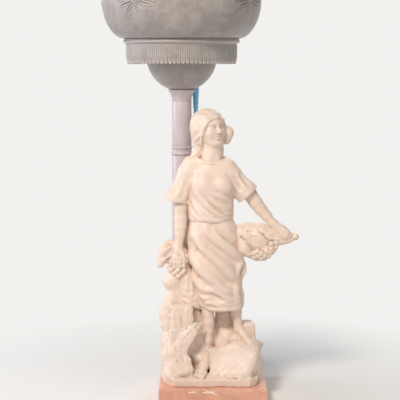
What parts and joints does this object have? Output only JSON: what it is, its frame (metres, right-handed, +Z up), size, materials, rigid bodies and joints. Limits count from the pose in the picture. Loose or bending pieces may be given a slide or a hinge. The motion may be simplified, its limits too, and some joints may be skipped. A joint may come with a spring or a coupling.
{
  "type": "figural table lamp",
  "caption": "Carved stone table lamp: a kerchiefed harvest figure on a rock and plinth, with a column, a dish and a fringed bulbous shade on a lift-off gallery.",
  "frame": {"origin": "centre of the felt pad's underside, on the table", "axes": "+Z up along the column, -Y is the figure's front, +X to the right seen from the front"},
  "size_m": [0.296, 0.358, 0.704],
  "materials": {
    "felt": "matte green felt",
    "pink_marble": "polished, white veins",
    "steel": "zinc plated",
    "mauve_marble": "turned and polished",
    "grey_alabaster": "carved and waxed, slightly translucent",
    "cream_alabaster": "carved, satin, slightly translucent",
    "rubber": "matte",
    "brass": "aged",
    "card": "plain",
    "phenolic": "moulded",
    "aluminium": "rolled",
    "opal_glass": "opal",
    "flex_sheath": "smooth vinyl",
    "plug_plastic": "moulded vinyl"
  },
  "bodies": {
    "lamp": {"felt_pad": "felt", "plinth": "pink_marble", "fixing_screws": "steel", "base_washer": "steel", "base_nut": "steel", "tie_rod": "steel", "column_foot": "mauve_marble", "column_lower": "mauve_marble", "column_knuckle": "mauve_marble", "column_upper": "mauve_marble", "column_capital": "mauve_marble", "dish": "grey_alabaster", "dish_gasket": "rubber", "dish_washer": "brass", "dish_nut": "brass", "gallery_nut": "brass", "gallery": "brass", "socket_cap": "brass", "socket_shell": "brass", "centre_contact": "brass", "plug_blades": "brass", "plug_ground_pin": "brass", "socket_liner": "card", "socket_insulator": "phenolic", "flex_bushing": "phenolic", "screw_shell": "aluminium", "flex_drop": "flex_sheath", "flex_coil": "flex_sheath", "inner_lead": "flex_sheath", "plug_body": "plug_plastic", "coil_tie": "plug_plastic", "rock_base": "cream_alabaster", "leaf_cluster": "cream_alabaster", "leg_prop": "cream_alabaster", "right_leg": "cream_alabaster", "left_leg": "cream_alabaster", "skirt": "cream_alabaster", "blouse": "cream_alabaster", "head": "cream_alabaster", "headscarf": "cream_alabaster", "right_arm": "cream_alabaster", "left_arm": "cream_alabaster", "right_bundle": "cream_alabaster", "left_bundle": "cream_alabaster", "cloth_sling": "cream_alabaster"},
    "shade": {"shade_fringe": "grey_alabaster", "shade_bead_ring": "grey_alabaster", "shade_bowl": "grey_alabaster", "shade_dome": "grey_alabaster", "finial_nut": "brass"},
    "finial": {"finial": "grey_alabaster", "finial_stud": "brass"},
    "bulb": {"bulb_cap": "aluminium", "bulb_glass": "opal_glass"},
    "switch": {"switch_shaft": "brass", "switch_key": "phenolic"}
  },
  "joints": [
    {"name": "shade_lift", "type": "slide", "parent": "lamp", "child": "shade", "axis": [0, 0, 1], "range_m": [0, 0.18]},
    {"name": "finial_turn", "type": "hinge", "parent": "shade", "child": "finial", "pos_m": [-0.047, 0.045, 0.68], "axis": [0, 0, 1], "continuous": true},
    {"name": "bulb_turn", "type": "hinge", "parent": "lamp", "child": "bulb", "pos_m": [-0.047, 0.045, 0.56], "axis": [0, 0, 1], "continuous": true},
    {"name": "switch_turn", "type": "hinge", "parent": "lamp", "child": "switch", "pos_m": [-0.047, 0.045, 0.538], "axis": [0.9397, -0.342, 0], "continuous": true}
  ]
}
